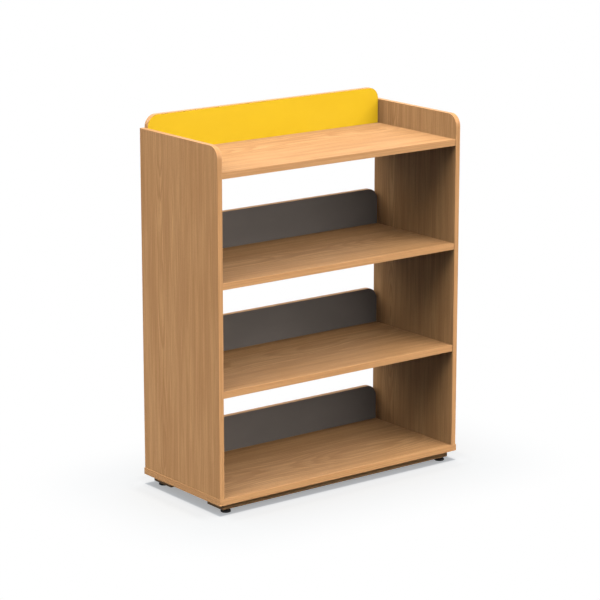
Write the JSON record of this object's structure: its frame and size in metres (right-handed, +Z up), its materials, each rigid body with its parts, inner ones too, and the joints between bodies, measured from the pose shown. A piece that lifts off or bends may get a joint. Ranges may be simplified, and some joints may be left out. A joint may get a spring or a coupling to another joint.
{
  "type": "shelving unit",
  "caption": "Open-backed oak shelving unit with raised sides, fixed shelves, a rounded upstand at the rear of each level, a rail base and levelling feet.",
  "frame": {"origin": "on the floor under the middle of the unit's footprint, at the feet's undersides", "axes": "+X to the right along the shelves as seen from the front, +Y from the front to the back, +Z up"},
  "size_m": [1.004, 0.436, 1.252],
  "materials": {
    "oak_board": "straight-grained oak face, matt lacquer",
    "oak_edging": "oak edge banding, matt lacquer",
    "yellow_board": "bright yellow laminate face, satin",
    "grey_board": "dark warm grey laminate face, satin",
    "beech_dowel": "plain beech",
    "zinc_steel": "bright zinc plate",
    "cast_zinc": "plain die-cast zinc",
    "black_plastic": "moulded black polyamide"
  },
  "bodies": {
    "unit": {"left_side_panel": "oak_board", "right_side_panel": "oak_board", "top_shelf": "oak_board", "upper_shelf": "oak_board", "lower_shelf": "oak_board", "base_panel": "oak_board", "front_rail": "oak_board", "rear_rail": "oak_board", "top_upstand": "yellow_board", "upper_upstand": "grey_board", "lower_upstand": "grey_board", "base_upstand": "grey_board", "left_side_edge_band": "oak_edging", "right_side_edge_band": "oak_edging", "base_edge_bands": "oak_edging", "front_rail_edge_bands": "oak_edging", "rear_rail_edge_bands": "oak_edging", "lower_shelf_edge_bands": "oak_edging", "upper_shelf_edge_bands": "oak_edging", "top_shelf_edge_bands": "oak_edging", "base_upstand_edge_band": "oak_edging", "lower_upstand_edge_band": "oak_edging", "upper_upstand_edge_band": "oak_edging", "top_upstand_edge_band": "oak_edging", "side_panel_dowels": "beech_dowel", "lower_shelf_dowels": "beech_dowel", "upper_shelf_dowels": "beech_dowel", "top_shelf_dowels": "beech_dowel", "base_upstand_dowels": "beech_dowel", "lower_upstand_dowels": "beech_dowel", "upper_upstand_dowels": "beech_dowel", "top_upstand_dowels": "beech_dowel", "side_panel_screws": "zinc_steel", "front_rail_screws": "zinc_steel", "rear_rail_screws": "zinc_steel", "foot_inserts": "zinc_steel", "lower_shelf_cam_bolts": "zinc_steel", "upper_shelf_cam_bolts": "zinc_steel", "top_shelf_cam_bolts": "zinc_steel", "base_upstand_screws": "zinc_steel", "lower_upstand_screws": "zinc_steel", "upper_upstand_screws": "zinc_steel", "top_upstand_screws": "zinc_steel", "lower_shelf_cams": "cast_zinc", "upper_shelf_cams": "cast_zinc", "top_shelf_cams": "cast_zinc"},
    "front_left_foot": {"front_left_foot_pad": "black_plastic"},
    "front_left_stem": {"front_left_foot_stem": "zinc_steel"},
    "front_right_foot": {"front_right_foot_pad": "black_plastic"},
    "front_right_stem": {"front_right_foot_stem": "zinc_steel"},
    "rear_left_foot": {"rear_left_foot_pad": "black_plastic"},
    "rear_left_stem": {"rear_left_foot_stem": "zinc_steel"},
    "rear_right_foot": {"rear_right_foot_pad": "black_plastic"},
    "rear_right_stem": {"rear_right_foot_stem": "zinc_steel"}
  },
  "joints": [
    {"name": "front_left_foot_height", "type": "slide", "parent": "unit", "child": "front_left_foot", "axis": [0, 0, 1], "range_m": [-0.012, 0.003]},
    {"name": "front_left_stem_turn", "type": "hinge", "parent": "front_left_foot", "child": "front_left_stem", "pos_m": [-0.455, -0.184, 0.02], "axis": [0, 0, 1], "range_deg": [-3480, 880]},
    {"name": "front_right_foot_height", "type": "slide", "parent": "unit", "child": "front_right_foot", "axis": [0, 0, 1], "range_m": [-0.012, 0.003]},
    {"name": "front_right_stem_turn", "type": "hinge", "parent": "front_right_foot", "child": "front_right_stem", "pos_m": [0.455, -0.184, 0.02], "axis": [0, 0, 1], "range_deg": [-3480, 880]},
    {"name": "rear_left_foot_height", "type": "slide", "parent": "unit", "child": "rear_left_foot", "axis": [0, 0, 1], "range_m": [-0.012, 0.003]},
    {"name": "rear_left_stem_turn", "type": "hinge", "parent": "rear_left_foot", "child": "rear_left_stem", "pos_m": [-0.455, 0.171, 0.02], "axis": [0, 0, 1], "range_deg": [-3480, 880]},
    {"name": "rear_right_foot_height", "type": "slide", "parent": "unit", "child": "rear_right_foot", "axis": [0, 0, 1], "range_m": [-0.012, 0.003]},
    {"name": "rear_right_stem_turn", "type": "hinge", "parent": "rear_right_foot", "child": "rear_right_stem", "pos_m": [0.455, 0.171, 0.02], "axis": [0, 0, 1], "range_deg": [-3480, 880]}
  ],
  "couplings": [
    {"joint": "front_left_stem_turn", "follows": "front_left_foot_height", "rad_per_m": 5026.5},
    {"joint": "front_right_stem_turn", "follows": "front_right_foot_height", "rad_per_m": 5026.5},
    {"joint": "rear_left_stem_turn", "follows": "rear_left_foot_height", "rad_per_m": 5026.5},
    {"joint": "rear_right_stem_turn", "follows": "rear_right_foot_height", "rad_per_m": 5026.5}
  ]
}
